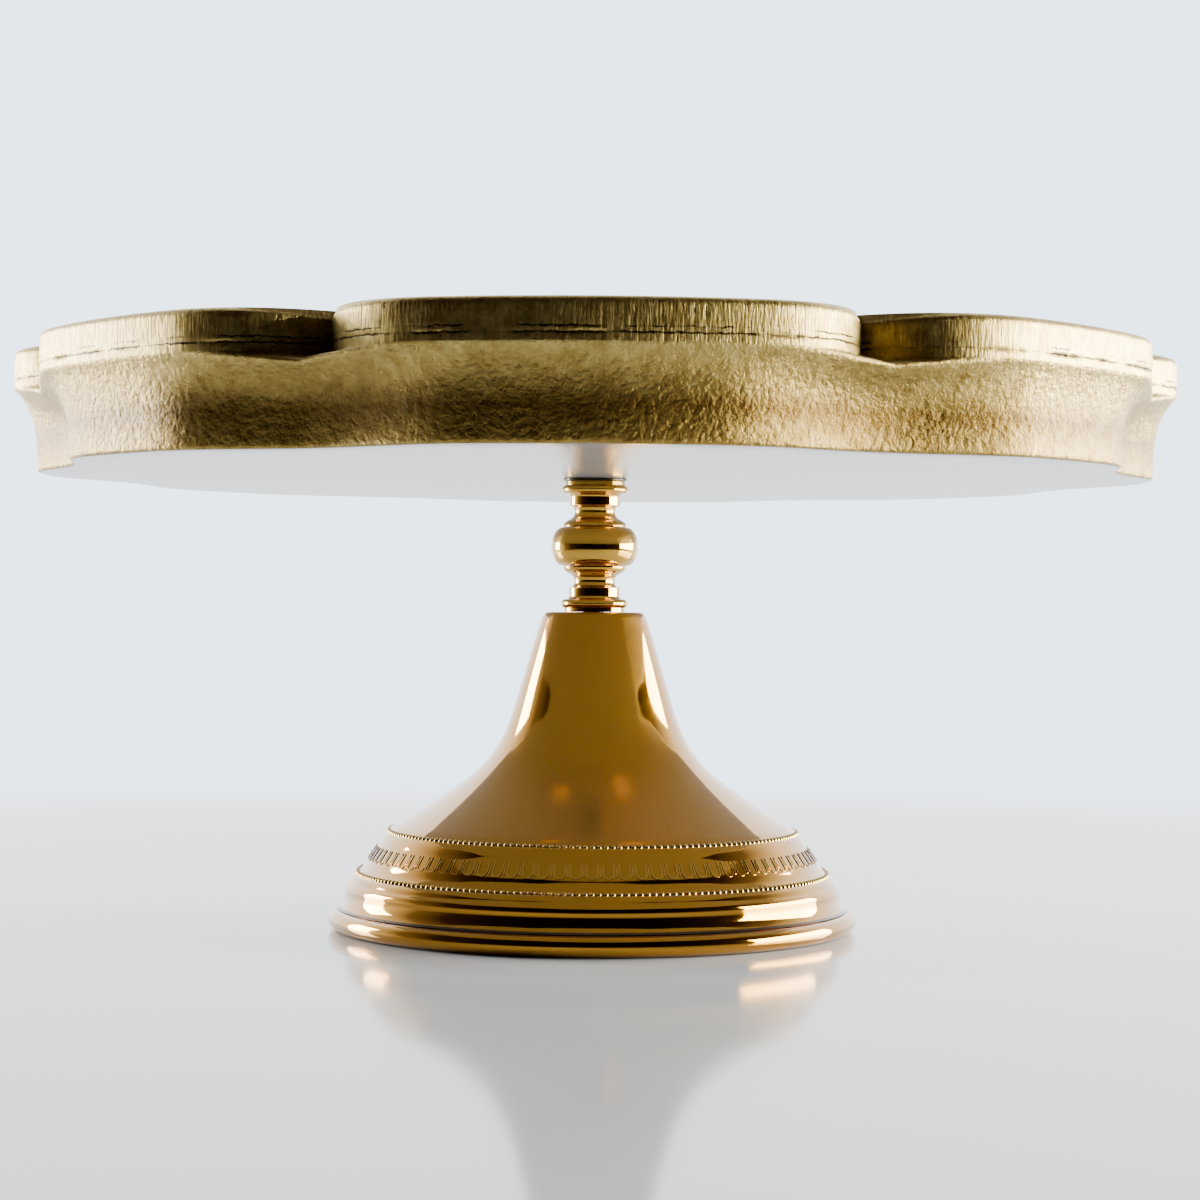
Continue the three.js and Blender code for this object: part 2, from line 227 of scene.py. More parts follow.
COVE_HEIGHT = BAND_FOOT - UNDERSIDE - BOTTOM_CHAMFER


def from_notch(x, y):
    """Degrees from a place on the plate to the nearest notch."""
    from_front = math.degrees(math.atan2(x, -y))
    folded = abs((from_front + 90) % 180 - 90)
    return min(abs(folded - place) for place in NOTCH_PLACES)


def notch_at(degrees):
    """1 at the bottom of a notch, 0 from its shoulders on."""
    return (1 - min(degrees / NOTCH_HALF_ANGLE, 1)) ** NOTCH_SHARPNESS


def valley_at(degrees):
    """1 in the middle of the valley under a notch, 0 at its sides."""
    away = min(degrees / VALLEY_HALF_ANGLE, 1)
    return (1 - away * away) ** 3


def settled_at(height):
    """0 on the upright band, 1 at the foot of the cove, and most of the way after a third."""
    depth = min(max((BAND_FOOT - height) / COVE_HEIGHT, 0), 1)
    return 1 - (1 - depth) ** 3


print("plate:", round(2 * PLATE_RADIUS / MM, 1), "mm across,", len(NOTCH_PLACES) * 4, "notches")


# %% [markdown]
# ## Sawn edge and pebbled paint
# The boards' upright edge still shows the saw: fine upright furrows, and chips where the two
# boards meet, because glue and filler have cracked along the seam. The cove below was filled
# and painted thickly, so its skin is pebbled like orange peel.
# The coarse part of that is real relief in the mesh, made with noise that only ever takes
# material away, so the plate never grows past its true size. The finest grain is left to the
# paint's bump, which costs no faces.

# %% Surface relief
FURROW_PITCH = 1.1 * MM
FURROW_DEPTH = 0.16 * MM
CHIP_LENGTH = 5 * MM
CHIP_DEPTH = 1.1 * MM
CHIP_REACH = 0.9 * MM
CRACK_RISE = 1.75 * MM  # the second crack, above the seam
CRACK_REACH = 0.4 * MM
PEBBLE_SIZE = 1.7 * MM
PEBBLE_DEPTH = 0.26 * MM
SWELL_SIZE = 26 * MM
SWELL_DEPTH = 0.3 * MM


def noise_at(x, y, z, size, seed=0):
    """Smooth noise from 0 to 1, with lumps of a size in metres."""
    return 0.5 + 0.5 * noise.noise(Vector((x / size + seed, y / size, z / size)))


def sawn_depth(x, y, z):
    """How far the sawn edge lies inside the outline at a place."""
    furrow = noise_at(x, y, z * 0.22, FURROW_PITCH) * FURROW_DEPTH
    grain = noise_at(x, y, z, FURROW_PITCH * 0.6, 40) * FURROW_DEPTH * 0.5
    broken = max(noise_at(x, y, 0, CHIP_LENGTH * 3, 11) - 0.36, 0) * 2.2
    ragged = noise_at(x, y, z, CHIP_LENGTH * 0.3, 23)
    near_seam = max(1 - abs(z - SEAM) / CHIP_REACH, 0)
    wander = (noise_at(x, y, 0, CHIP_LENGTH * 1.4, 61) - 0.5) * CRACK_RISE * 0.9
    near_crack = max(1 - abs(z - SEAM - CRACK_RISE - wander) / CRACK_REACH, 0)
    crack = near_crack * max(noise_at(x, y, 0, CHIP_LENGTH * 4, 31) - 0.47, 0) * 3.4
    return furrow + grain + CHIP_DEPTH * min(broken, 1) * ragged * (near_seam + 0.8 * crack)


def pebbled_depth(x, y, z):
    """How far the thick paint on the cove lies inside the outline at a place."""
    pebble = noise_at(x, y, z, PEBBLE_SIZE, 70) * PEBBLE_DEPTH
    fine = noise_at(x, y, z, PEBBLE_SIZE * 0.5, 80) * PEBBLE_DEPTH * 0.45
    return pebble + fine + noise_at(x, y, z, SWELL_SIZE, 90) * SWELL_DEPTH


def scallop(piece, foot_drop, edge_drop):
    """Pull a turned board in to the scalloped outline and roughen its edge."""
    edge_radius = PLATE_RADIUS - COVE_INSET - BOTTOM_CHAMFER
    round_radius = PLATE_RADIUS * ROUND_SHARE
    for vertex in piece.data.vertices:
        x, y, z = vertex.co
        radius = math.hypot(x, y)
        if radius <= round_radius + MM:
            continue
        degrees = from_notch(x, y)
        notch = notch_at(degrees)
        settled = settled_at(z)
        reach = min((radius - round_radius) / (edge_radius - round_radius), 1)
        cut = NOTCH_DEPTH * notch * (1 - settled) ** NOTCH_CUTOFF
        opened = 1 - (1 - settled) ** VALLEY_ONSET
        pulled = cut + VALLEY_DEPTH * valley_at(degrees) * opened
        inward = pulled * reach
        if radius >= edge_radius - MM:
            sawn = sawn_depth(x, y, z)
            inward += sawn if z > BAND_FOOT else pebbled_depth(x, y, z) * min(settled * 4, 1)
        scale = (radius - inward) / radius
        drop = foot_drop(z) * notch * reach + edge_drop(z) * notch * reach
        vertex.co = (x * scale, y * scale, z - drop)
    piece.data.update()


print("relief: furrows", FURROW_DEPTH / MM, "mm, pebbles", PEBBLE_DEPTH / MM, "mm deep")

# %% [markdown]
# ## Colour and nodes
# Colours are written as the sRGB hex values that a paint chart would give, and one function
# turns them to the linear values that the renderer works in. One small helper adds a node,
# sets its values and links its inputs, so each material below reads as a short list.

# %% Material helpers
def linear(code):
    """An sRGB hex colour as linear red, green, blue and alpha."""
    made = []
    for i in (1, 3, 5):
        value = int(code[i : i + 2], 16) / 255
        made.append(value / 12.92 if value <= 0.04045 else ((value + 0.055) / 1.055) ** 2.4)
    return (*made, 1.0)


def add(tree, kind, settings=None, links=None):
    """Add a node, set its properties or sockets, and link outputs to its sockets."""
    made = tree.nodes.new("ShaderNode" + kind)
    for name, value in (settings or {}).items():
        if name == "ramp":
            for place, colour in value[2:]:
                made.color_ramp.elements.new(place).color = linear(colour)
            for element, (place, colour) in zip(
                (made.color_ramp.elements[0], made.color_ramp.elements[-1]), value[:2]
            ):
                element.position = place
                element.color = linear(colour)
        elif isinstance(name, str) and name in made.bl_rna.properties:
            setattr(made, name, value)
        else:
            made.inputs[name].default_value = value
    for name, source in (links or {}).items():
        tree.links.new(source, made.inputs[name])
    return made


def new_material(name, settings):
    """A material with one principled shader, and the pieces that most finishes need."""
    material = bpy.data.materials.new(name)
    material.use_nodes = True
    tree = material.node_tree
    shader = tree.nodes["Principled BSDF"]
    for socket, value in settings.items():
        shader.inputs[socket].default_value = value
    place = add(tree, "TexCoord").outputs["Object"]
    return material, tree, shader, place


def bump(tree, shader, height, distance, strength=1.0, after=None):
    """Raise the surface by a height from 0 to 1 times a distance in metres."""
    links = {"Height": height}
    if after:
        links["Normal"] = after
    made = add(tree, "Bump", {"Strength": strength, "Distance": distance}, links)
    tree.links.new(made.outputs["Normal"], shader.inputs["Normal"])
    return made.outputs["Normal"]


def per_metre(size):
    """The scale of a noise or cell texture whose lumps are this size in metres."""
    return 1 / size


# %% [markdown]
# ## Gold paint
# The plate's edge is metallic gold paint: fine mica flakes in a clear binder, brushed and
# sprayed over bare fibreboard. Flakes lie at many angles, so it reflects softly, like rough
# metal, and it sparkles. On the sawn edge it follows the furrows and is thinner, so it looks
# browner in the hollows, and the glue line shows as two broken cracks, whose dark brown is
# painted shade. On the cove it is thick and pebbled, and its gold is darkened by painted
# shade, most a little below the middle of the hollow.
# Both are a metal with medium roughness. The flakes are a tiny bump of 0.4 mm, which is
# coarser than real mica so that it still shows at this distance.

# %% Gold paint materials
GOLD_PALE = "#D2BA70"
GOLD_DEEP = "#967C3E"
# the dark brown in the seam cracks is painted shade; the cracks themselves are real relief
CRACK_SHADE_BROWN = "#2B1E0C"
CRACK_WANDER = 2.4 * MM
CRACK_RAGGEDNESS = 3.2 * MM
CRACK_STRETCH = 16 * MM
CRACK_CORE = 0.4  # the share of a crack's width that is fully dark
CRACK_FADE = 0.07
CRACKS = (  # height, width, and how broken each crack is
    (SEAM, 0.42 * MM, 0.4),
    (SEAM + CRACK_RISE, 0.36 * MM, 0.47),
)
# painted shade up the cove: darkest 0.4 of the way up from the underside, none at the band
SHADE_UP_THE_COVE = [(0.0, "#CFC6B0"), (1.0, "#FFFFFF"), (0.4, "#8C7F66"), (0.84, "#F2EEE4")]
PATCH_SIZE = 5 * MM
FLAKE_SIZE = 0.42 * MM
FLAKE_BUMP = 0.05 * MM
STREAK_WIDTH = 0.8 * MM
STREAK_BUMP = 0.42 * MM
STREAK_STRETCH = 0.16  # streaks run upright, so their pattern is squashed in height
PEBBLE_WIDTH = 1.9 * MM
PEBBLE_BUMP = 1.0 * MM


def seam_crack_shade(tree, place):
    """1 in the two broken cracks along the seam, 0 elsewhere: the mask for their painted shade."""
    wander = add(
        tree,
        "TexNoise",
        {"Scale": per_metre(CRACK_RAGGEDNESS), "Detail": 6.0, "Roughness": 0.75},
        {"Vector": place},
    ).outputs["Fac"]
    broken = add(
        tree, "TexNoise", {"Scale": per_metre(CRACK_STRETCH), "Detail": 3.0}, {"Vector": place}
    ).outputs["Fac"]
    height = add(tree, "SeparateXYZ", {}, {"Vector": place}).outputs["Z"]
    shifted = add(
        tree, "Math", {"operation": "MULTIPLY_ADD", 1: CRACK_WANDER}, {0: wander, 2: height}
    ).outputs["Value"]
    lines = []
    for level, width, start in CRACKS:
        away = add(
            tree,
            "Math",
            {"operation": "SUBTRACT", 1: level + CRACK_WANDER / 2},
            {0: shifted},
        ).outputs["Value"]
        apart = add(tree, "Math", {"operation": "ABSOLUTE"}, {0: away}).outputs["Value"]
        line = add(
            tree,
            "MapRange",
            {"From Min": width * CRACK_CORE, "From Max": width, "To Min": 1.0, "To Max": 0.0},
            {"Value": apart},
        ).outputs["Result"]
        there = add(
            tree, "MapRange", {"From Min": start, "From Max": start + CRACK_FADE}, {"Value": broken}
        ).outputs["Result"]
        lines.append(
            add(tree, "Math", {"operation": "MULTIPLY"}, {0: line, 1: there}).outputs["Value"]
        )
    return add(tree, "Math", {"operation": "MAXIMUM"}, {0: lines[0], 1: lines[1]}).outputs["Value"]


def cove_painted_shade(tree, place):
    """Painted shade on the cove: a multiplier that darkens the gold most a little below the middle of the
    hollow, and a little at its foot.
    """
    height = add(tree, "SeparateXYZ", {}, {"Vector": place}).outputs["Z"]
    up_the_cove = add(
        tree, "MapRange", {"From Min": UNDERSIDE, "From Max": BAND_FOOT}, {"Value": height}
    ).outputs["Result"]
    return add(
        tree, "ValToRGB", {"ramp": SHADE_UP_THE_COVE}, {"Fac": up_the_cove}
    ).outputs["Color"]


def gold_paint(name, furrowed, roughness):
    """Metallic gold paint over a sawn or a filled surface."""
    material, tree, shader, place = new_material(name, {"Metallic": 1.0, "Roughness": roughness})
    flakes = add(
        tree, "TexVoronoi", {"Scale": per_metre(FLAKE_SIZE)}, {"Vector": place}
    ).outputs["Color"]
    patches = add(
        tree,
        "TexNoise",
        {"Scale": per_metre(PATCH_SIZE), "Detail": 6.0, "Roughness": 0.7},
        {"Vector": place},
    ).outputs["Fac"]
    tone = add(
        tree, "ValToRGB", {"ramp": [(0.3, GOLD_DEEP), (0.7, GOLD_PALE)]}, {"Fac": patches}
    ).outputs["Color"]
    if furrowed:
        # painted shade in the seam cracks
        tone = add(
            tree,
            "Mix",
            {"data_type": "RGBA", 7: linear(CRACK_SHADE_BROWN)},
            {0: seam_crack_shade(tree, place), 6: tone},
        ).outputs[2]
    else:
        tone = add(
            tree,
            "Mix",
            {"data_type": "RGBA", "blend_type": "MULTIPLY", 0: 1.0},
            {6: tone, 7: cove_painted_shade(tree, place)},
        ).outputs[2]
    tree.links.new(tone, shader.inputs["Base Color"])
    width = STREAK_WIDTH if furrowed else PEBBLE_WIDTH
    squashed = (1, 1, STREAK_STRETCH) if furrowed else (1, 1, 1)
    mapped = add(tree, "Mapping", {"Scale": squashed}, {"Vector": place}).outputs["Vector"]
    streaks = add(
        tree,
        "TexNoise",
        {"Scale": per_metre(width), "Detail": 5.0, "Roughness": 0.6},
        {"Vector": mapped},
    ).outputs["Fac"]
    coarse = bump(tree, shader, streaks, STREAK_BUMP if furrowed else PEBBLE_BUMP, 0.9)
    bump(tree, shader, flakes, FLAKE_BUMP, 0.55, coarse)
    gloss = add(
        tree,
        "MapRange",
        {"From Min": 0.3, "From Max": 0.7, "To Min": roughness - 0.07, "To Max": roughness + 0.1},
        {"Value": streaks},
    ).outputs["Result"]
    tree.links.new(gloss, shader.inputs["Roughness"])
    return material


gold_on_sawn_edge = gold_paint("gold_paint_on_sawn_edge", True, 0.34)
gold_on_cove = gold_paint("gold_paint_on_filled_cove", False, 0.32)
print("gold paint:", gold_on_sawn_edge.name, "and", gold_on_cove.name)

# %% [markdown]
# ## White satin paint
# Underneath, the plate is painted satin white. It mirrors softly, so the stem's reflection
# hangs above it as a blurred gold streak. It has a slight brush texture and a few scuffs. Its
# white is given here as a mid grey, which is painted shade.

# %% White satin paint
SCUFF_SIZE = 9 * MM
BRUSH_MARK = 1.2 * MM


def satin_white():
    """Satin white enamel on a flat board, with faint scuffs. Its white is given as a mid grey, which is
    painted shade.
    """
    material, tree, shader, place = new_material(
        "satin_white_enamel_in_painted_shade", {"Roughness": 0.22, "Specular IOR Level": 0.5}
    )
    scuffs = add(
        tree,
        "TexNoise",
        {"Scale": per_metre(SCUFF_SIZE), "Detail": 8.0, "Roughness": 0.7, "Distortion": 1.6},
        {"Vector": place},
    ).outputs["Fac"]
    # both greys are painted shade on white enamel; the darker patches are the scuffs
    tone = add(
        tree,
        "ValToRGB",
        {"ramp": [(0.24, "#74787B"), (0.34, "#9A9EA1")]},
        {"Fac": scuffs},
    ).outputs["Color"]
    tree.links.new(tone, shader.inputs["Base Color"])
    brushed = add(
        tree, "TexNoise", {"Scale": per_metre(BRUSH_MARK), "Detail": 3.0}, {"Vector": place}
    ).outputs["Fac"]
    bump(tree, shader, brushed, 0.02 * MM, 0.35)
    return material


white_underside = satin_white()
print("underside:", white_underside.name)

# %% [markdown]
# ## Top board
# The thinner board, 10.3 mm thick. Its top edge is rounded over by a sander. The rows of the
# edge crowd towards its foot, where the cracks along the seam need them.

# %% Top board
board_height = CAKE_SURFACE - TOP_BOARD_FOOT
round_start = CAKE_SURFACE - TOP_EDGE_ROUND
FLAT_SHARES = (0, 0.45, ROUND_SHARE, 0.88)
CRACK_ROWS = [0, 0.2, 0.45, 0.75, 1.0, 1.25, 1.5, 1.75, 2.0, 2.25, 2.5, 2.8, 3.3, 4.1, 5.0, 6.0, 7.0]

top_section = [(PLATE_RADIUS * share, TOP_BOARD_FOOT) for share in FLAT_SHARES]
top_section += [(PLATE_RADIUS, TOP_BOARD_FOOT + row * MM) for row in CRACK_ROWS]
top_section += arc(PLATE_RADIUS - TOP_EDGE_ROUND, round_start, TOP_EDGE_ROUND, 0, 90, 6)
top_section += [(PLATE_RADIUS * share, CAKE_SURFACE) for share in reversed(FLAT_SHARES)]
top_board = turned("gilded_top_board", top_section, BOARD_STEPS)


def top_edge_drop(height):
    """The top edge sinks a little in each notch, from nothing at half height."""
    rise = (height - TOP_BOARD_FOOT) / board_height
    return NOTCH_EDGE_DROP * min(max(rise * 2 - 1, 0), 1) if height < CAKE_SURFACE - 1e-6 else 0


scallop(top_board, lambda height: 0, top_edge_drop)
top_board.data.materials.append(gold_on_sawn_edge)
settle(top_board, "plate", "board_gold", "top_board")

# %% [markdown]
# ## Cove board
# The thicker board, 31 mm. Its upright band carries on from the top board for 2.7 mm, then a
# router cut the hollow cove, and a small chamfer ends it. The faces that point straight down
# get the white enamel as a second material. It has the bore and the recess for the tee nut.

# %% Cove board
TEE_CLEARANCE = 0.3 * MM
tee_low, tee_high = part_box("tee_nut")
recess_radius = tee_high.x + TEE_CLEARANCE
BARREL_BORE = 5.5 * MM
RECESS_DEPTH = 1.8 * MM
recess_height = SEAM - RECESS_DEPTH
COVE_ROWS = 30
BAND_ROWS = [2.2, 1.7, 1.2, 0.8, 0.45, 0.2, 0]

cove_section = [(BARREL_BORE, UNDERSIDE)]
cove_section += [(PLATE_RADIUS * share, UNDERSIDE) for share in (0.3, ROUND_SHARE, 0.86)]
cove_section += arc(
    PLATE_RADIUS - COVE_INSET - BOTTOM_CHAMFER, UNDERSIDE + BOTTOM_CHAMFER, BOTTOM_CHAMFER, -90, 0, 4
)[:-1]
for i in range(COVE_ROWS, -1, -1):
    row_height = BAND_FOOT - COVE_HEIGHT * i / COVE_ROWS
    cove_section.append((PLATE_RADIUS - COVE_INSET * settled_at(row_height), row_height))
cove_section += [(PLATE_RADIUS, SEAM - row * MM) for row in BAND_ROWS]
cove_section += [(PLATE_RADIUS * share, SEAM) for share in (0.88, ROUND_SHARE)]
cove_section += [(recess_radius, SEAM), (recess_radius, recess_height)]
cove_section += [(BARREL_BORE, recess_height), (BARREL_BORE, UNDERSIDE)]
cove_board = turned("coved_lower_board", cove_section, BOARD_STEPS)


def cove_foot_drop(height):
    """The band's lower line runs down into each notch."""
    if height > BAND_FOOT:
        return NOTCH_FOOT_DROP * (SEAM - height) / BAND_BELOW_SEAM
    return NOTCH_FOOT_DROP * max(1 - (BAND_FOOT - height) / COVE_HEIGHT, 0)


scallop(cove_board, cove_foot_drop, lambda height: 0)
cove_board.data.materials.append(gold_on_cove)
cove_board.data.materials.append(white_underside)
cove_board.data.materials.append(gold_on_sawn_edge)
for face in cove_board.data.polygons:
    if face.normal.z < -0.97 and face.center.z < UNDERSIDE + 0.4 * MM:
        face.material_index = 1
    elif face.center.z > BAND_FOOT:
        face.material_index = 2
settle(cove_board, "plate", "cove_gold", "cove_board")

# %% [markdown]
# ## Brass
# The stem and foot are polished and lacquered brass. It mirrors the room, so its look comes
# mostly from its surroundings. The base colour is the deep yellow of brass under an amber
# lacquer, and the lacquer itself is the shader's coat. Spinning and turning leave very fine
# rings, and handling leaves soft smears, so the roughness varies a little from place to place.
# In the seats of the bead rings and the crease above the rim the brass is painted dark, as
# painted shade, and the plate washer is painted near black, as painted shade too.

# %% Brass materials
SMEAR_SIZE = 22 * MM
TURNING_RING = 0.5 * MM
TURNING_BUMP = 0.004 * MM


def brass(name, colour, roughness, smear=0.03):
    """Polished lacquered brass with faint turning rings and soft smears."""
    material, tree, shader, place = new_material(
        name,
        {
            "Metallic": 1.0,
            "Base Color": linear(colour),
            "Roughness": roughness,
            "Coat Weight": 0.6,
            "Coat Roughness": 0.03,
        },
    )
    smears = add(
        tree,
        "TexNoise",
        {"Scale": per_metre(SMEAR_SIZE), "Detail": 5.0, "Roughness": 0.6, "Distortion": 0.6},
        {"Vector": place},
    ).outputs["Fac"]
    tone = add(
        tree,
        "MapRange",
        {"From Min": 0.35, "From Max": 0.7, "To Min": roughness, "To Max": roughness + smear},
        {"Value": smears},
    ).outputs["Result"]
    tree.links.new(tone, shader.inputs["Roughness"])
    rings = add(tree, "Mapping", {"Scale": (0.02, 0.02, 1)}, {"Vector": place}).outputs["Vector"]
    lines = add(
        tree, "TexNoise", {"Scale": per_metre(TURNING_RING), "Detail": 2.0}, {"Vector": rings}
    ).outputs["Fac"]
    bump(tree, shader, lines, TURNING_BUMP, 0.25)
    return material


spun_brass = brass("polished_spun_brass", "#B27C08", 0.04, 0.05)
turned_brass = brass("polished_turned_brass", "#C6962A", 0.04)
stamped_brass = brass("stamped_brass_border", "#C09A3C", 0.1)
# the plate washer's near black is painted shade in the gap under the plate
washer_shade_brass = brass("brass_washer_painted_shade", "#2E2412", 0.35)
# painted shade in the grooves of the foot
groove_shade_brass = brass("brass_groove_painted_shade", "#3E2C0C", 0.22)
print("brass:", spun_brass.name, turned_brass.name, stamped_brass.name, washer_shade_brass.name)

# %% [markdown]
# ## Necks, knob and washer
# The two necks are the same turning: a disc, a bead, a flared collar, a waist and a cup. The
# upper one is upside down. The section is drawn once, from the flange at height 0, and the
# upper neck mirrors its heights. The knob between the cups is a flattened ball.

# %% Necks
STEM_STEPS = 96
ROD_BORE = 4.3 * MM
SHARP_CORNER = 0.15 * MM

NECK_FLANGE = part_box("lower_neck")[1].x
NECK_COLLAR = 9 * MM
NECK_WAIST = 7.25 * MM
CUP = 11.25 * MM
DISC_INSET = 1.2 * MM
DISC_HEIGHT = 1.4 * MM
BEAD = 1.55 * MM
FLARE = 1.3 * MM
FLARE_HEIGHT = 1.1 * MM
COLLAR_HEIGHT = 3 * MM
COLLAR_TO_WAIST = 2.5 * MM
WAIST_BOW = 0.52  # how strongly the hollow from waist to cup is bowed
CUP_LIP = 0.7 * MM


def neck_section(height):
    """One neck, standing on its flange at height 0."""
    bead_top = DISC_HEIGHT + 2 * BEAD
    collar_foot = bead_top + FLARE_HEIGHT
    collar_top = collar_foot + COLLAR_HEIGHT
    waist = collar_top + COLLAR_TO_WAIST
    bow = (height - waist) * WAIST_BOW
    section = [(ROD_BORE, 0), (NECK_FLANGE - DISC_INSET - SHARP_CORNER, 0)]
    section += [(NECK_FLANGE - DISC_INSET, SHARP_CORNER), (NECK_FLANGE - DISC_INSET, DISC_HEIGHT)]
    section += arc(NECK_FLANGE - BEAD, DISC_HEIGHT + BEAD, BEAD, -62, 90, 12)
    section += curve(
        [
            (NECK_COLLAR + FLARE, bead_top),
            (NECK_COLLAR + FLARE * 0.4, bead_top),
            (NECK_COLLAR, bead_top + FLARE_HEIGHT * 0.4),
            (NECK_COLLAR, collar_foot),
        ],
        5,
    )
    section += [(NECK_COLLAR, collar_top - SHARP_CORNER), (NECK_COLLAR - SHARP_CORNER, collar_top)]
    section += curve(
        [
            (NECK_WAIST + 0.9 * MM, collar_top + 0.2 * MM),
            (NECK_WAIST + 0.2 * MM, collar_top + 0.5 * MM),
            (NECK_WAIST, waist - 1.0 * MM),
            (NECK_WAIST, waist),
        ],
        5,
    )[:-1]
    section += curve(
        [
            (NECK_WAIST, waist),
            (NECK_WAIST, waist + bow),
            (CUP - 0.6 * MM, height - bow),
            (CUP, height - CUP_LIP),
        ],
        10,
    )
    section += [(CUP, height - SHARP_CORNER), (CUP - SHARP_CORNER, height), (ROD_BORE, height)]
    return section + [section[0]]


def neck(name, node, upside_down):
    """A turned neck in the place of its CAD node."""
    low, high = (corner.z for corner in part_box(node))
    section = neck_section(high - low)
    placed = [(r, high - z if upside_down else low + z) for r, z in section]
    piece = turned(name, placed, STEM_STEPS, 32)
    piece.data.materials.append(turned_brass)
    return settle(piece, "stem", "stem_brass", node)


neck("turned_upper_neck", "upper_neck", True)
neck("turned_lower_neck", "lower_neck", False)

# %% Knob and washer
knob_low, knob_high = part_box("knob")
knob_height = knob_high.z - knob_low.z
swell = knob_high.x - CUP
KNOB_ROWS = 26
knob_section = [(ROD_BORE, knob_low.z)]
for i in range(KNOB_ROWS + 1):
    angle = math.pi * i / KNOB_ROWS
    knob_section.append(
        (CUP + swell * math.sin(angle), knob_low.z + knob_height * (1 - math.cos(angle)) / 2)
    )
knob_section += [(ROD_BORE, knob_high.z), (ROD_BORE, knob_low.z)]
knob = turned("turned_knob", knob_section, STEM_STEPS, 50)
knob.data.materials.append(turned_brass)
settle(knob, "stem", "stem_brass", "knob")


def flat_ring(name, node, inner, corner, steps):
    """A flat turned ring with rounded corners in the place of a CAD node."""
    low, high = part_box(node)
    outer = high.x
    section = [(inner, low.z + corner), (inner + corner, low.z), (outer - corner, low.z)]
    section += [(outer, low.z + corner), (outer, high.z - corner), (outer - corner, high.z)]
    section += [(inner + corner, high.z), (inner, high.z - corner), (inner, low.z + corner)]
    return turned(name, section, steps, 30)


plate_washer = flat_ring("dark_plate_washer", "plate_washer", ROD_BORE, 0.15 * MM, STEM_STEPS)
plate_washer.data.materials.append(washer_shade_brass)
settle(plate_washer, "washer", "washer_dark", "plate_washer")

# %% [markdown]
# ## Foot
# The foot is spun: a disc of brass sheet is pressed over a turning former until it takes the
# shape of a bell, a stepped border is rolled in, and the edge is curled outward and under
# so that it is round to the touch. It is a thin shell, so the section goes down the outside,
# round the curl, and back up the inside at the sheet's thickness.

# %% Foot shell
FOOT_RADIUS = 93.4 * MM
FOOT_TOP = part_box("foot_shell")[1].z
FOOT_STEPS = 256
SHEET = 1.2 * MM
CURL = 3.5 * MM
SHOULDER = 17.7 * MM
SHOULDER_ROUND = 2.2 * MM
SHOULDER_FLARE = 0.9 * MM
SHOULDER_FLAT_END = 2.4 * MM
SHOULDER_BEND = ((-1.4, 0.0), (0.0, 0.0), (0.6, -0.8))  # outward and up, in millimetres
CURL_WALL = 0.9 * MM
CURL_ANGLES = (95, -205)  # where the rolled rim leaves the wall, and where it has gone round
CURL_LIP_ANGLE = 60
BORDER_CORNERS = (  # inward from the rim and up, in millimetres
    (21.4, 34.4),  # foot of the bell
    (17.8, 29.4),  # top of the tongue band
    (14.0, 24.0),  # foot of the tongue band
    (10.8, 19.7),  # seat of the lower beads
    (7.5, 16.6),  # foot of the first rib
    (5.9, 12.8),  # foot of the second rib
    (3.4, 7.3),  # crease above the rim
)
BORDER_BULGES = (0.25, 0.0, -0.35, 0.5, 0.75, -0.7)  # from one corner to the next
corner = [(FOOT_RADIUS - inset * MM, height * MM) for inset, height in BORDER_CORNERS]
BELL_BASE = corner[0]
bell_start = (SHOULDER + SHOULDER_FLARE, FOOT_TOP - SHOULDER_ROUND)
bell_reach = BELL_BASE[0] - bell_start[0]
bell_fall = bell_start[1] - BELL_BASE[1]
bell_line = curve(
    [
        bell_start,
        (bell_start[0] + 0.302 * bell_reach, bell_start[1] - 0.653 * bell_fall),
        (bell_start[0] + 0.139 * bell_reach, bell_start[1] - 0.631 * bell_fall),
        BELL_BASE,
    ],
    40,
)


def along_border(start, end, bulges, steps=7):
    """A stretch of the border from one corner to the next, bulging by a distance."""
    made = []
    run = Vector(end) - Vector(start)
    outward = Vector((-run.y, run.x)).normalized()
    if outward.x < 0:
        outward = -outward
    for i in range(1, steps + 1):
        t = i / steps
        made.append(tuple(Vector(start) + run * t + outward * bulges * math.sin(math.pi * t)))
    return made


border_line = []
for start, end, bulge in zip(corner, corner[1:], BORDER_BULGES):
    border_line += along_border(start, end, bulge * MM)


def inside_of(line, thickness):
    """The same line, moved in by a thickness."""
    made = []
    for i, here in enumerate(line):
        before = Vector(line[max(i - 1, 0)])
        after = Vector(line[min(i + 1, len(line) - 1)])
        along = (after - before).normalized()
        made.append((here[0] + along.y * thickness, here[1] - along.x * thickness))
    return made


print(f"bell from {FOOT_TOP / MM:.1f} mm down, border line of {len(border_line)} points")

# %% Foot section
UPPER_BEADS = 71.9 * MM
LOWER_BEADS = 82.9 * MM
# The seats of the bead rings and the crease above the rim are painted dark brass: painted shade.
GROOVES = (  # radius, height and reach
    (UPPER_BEADS, 33.9 * MM, 0.8 * MM),
    (LOWER_BEADS, 19.2 * MM, 0.8 * MM),
    (*corner[-1], 0.9 * MM),
)
plain_wall = bell_line[::2] + corner[1:]
inner_wall = inside_of(plain_wall, SHEET)
curl_centre = (FOOT_RADIUS - CURL, CURL)
curl_outside = arc(*curl_centre, CURL, *CURL_ANGLES, 34)
curl_inside = arc(*curl_centre, CURL - CURL_WALL, CURL_ANGLES[1], CURL_LIP_ANGLE, 26)
foot_section = [(ROD_BORE, FOOT_TOP)]
foot_section += [(SHOULDER - SHOULDER_FLAT_END, FOOT_TOP)]
foot_section += curve(
    [(SHOULDER + out * MM, FOOT_TOP + up * MM) for out, up in SHOULDER_BEND] + [bell_start], 6
)
